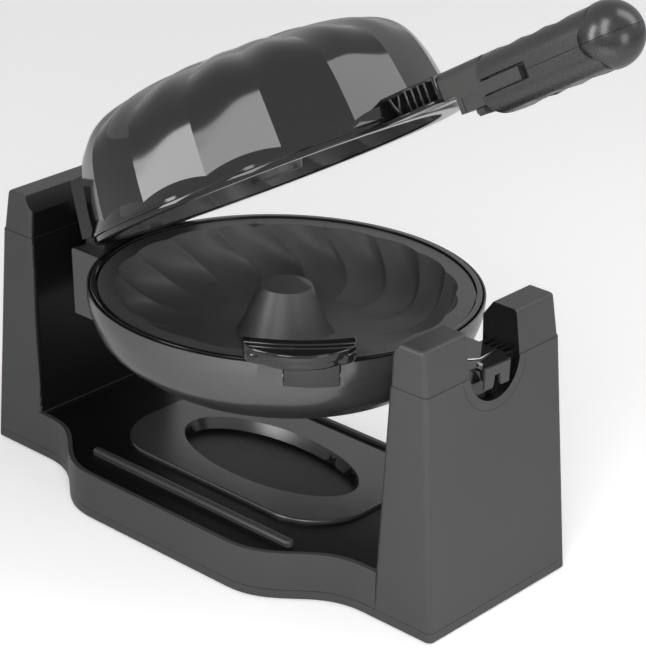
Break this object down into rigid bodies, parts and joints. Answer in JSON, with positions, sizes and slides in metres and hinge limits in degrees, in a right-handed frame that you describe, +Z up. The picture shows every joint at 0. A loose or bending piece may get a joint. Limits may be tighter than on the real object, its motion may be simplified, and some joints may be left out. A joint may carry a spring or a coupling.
{
  "type": "rotating cake maker",
  "caption": "Countertop cake maker whose round pan with a hinged, fluted lid and handle turns over between two towers above a drip tray.",
  "frame": {"origin": "under the middle of the resting object's whole length and midway between the fronts and backs of the towers, on the surface the feet stand on", "axes": "+X from the hinge tower to the open tower, +Y to the back, +Z up"},
  "size_m": [0.3875, 0.2103, 0.3284],
  "materials": {
    "matte_black": "moulded, fine grain",
    "satin_black": "satin",
    "gloss_black": "piano gloss",
    "grey_plastic": "satin",
    "bowl_lacquer": "satin lacquer",
    "mould_coating": "dark non-stick coating",
    "steel": "bright",
    "bright_sheet": "bright sheet",
    "heater": "dull sheath",
    "rubber": "matte",
    "white_plastic": "moulded",
    "bush_plastic": "moulded"
  },
  "bodies": {
    "base": {"base_tray": "matte_black", "base_shell": "matte_black", "left_tower_cap": "matte_black", "right_tower_cap": "matte_black", "drip_tray": "satin_black", "rubber_feet": "rubber", "base_screws": "steel", "pivot_bush": "bush_plastic", "cord_gland": "rubber", "terminal_block": "white_plastic"},
    "pan": {"lower_housing": "bowl_lacquer", "lower_rim": "gloss_black", "lower_mould": "mould_coating", "lower_element": "heater", "lower_reflector": "bright_sheet", "lower_thermostat": "bush_plastic", "journal_end_plate": "grey_plastic", "pivot_shaft": "steel", "shaft_clip": "steel", "hinge_pin": "steel", "clip_block": "gloss_black", "clip_pin": "steel"},
    "clip": {"clip_lever": "gloss_black"},
    "lid": {"lid_housing": "gloss_black", "lid_rim": "gloss_black", "upper_mould": "mould_coating", "upper_element": "heater", "upper_reflector": "bright_sheet", "hinge_arms": "gloss_black", "lid_journal": "gloss_black", "handle_neck": "grey_plastic", "grip_upper": "satin_black", "grip_lower": "satin_black", "grip_screws": "steel"},
    "latch": {"latch_slider": "grey_plastic"}
  },
  "joints": [
    {"name": "pan_flip", "type": "hinge", "parent": "base", "child": "pan", "pos_m": [-0.0289, 0, 0.135], "axis": [1, 0, 0], "range_deg": [0, 92.4]},
    {"name": "lid_hinge", "type": "hinge", "parent": "pan", "child": "lid", "pos_m": [-0.1179, 0.00059, 0.14899], "axis": [0, -0.9991, 0.0424], "range_deg": [-31.5, 21]},
    {"name": "clip_tilt", "type": "hinge", "parent": "pan", "child": "clip", "pos_m": [0.06397, -0.07421, 0.13315], "axis": [0.6845, 0.7283, -0.0309], "range_deg": [-6, 15]},
    {"name": "latch_slide", "type": "slide", "parent": "lid", "child": "latch", "axis": [-0.8526, -0.0222, -0.522], "range_m": [0, 0.005]}
  ]
}
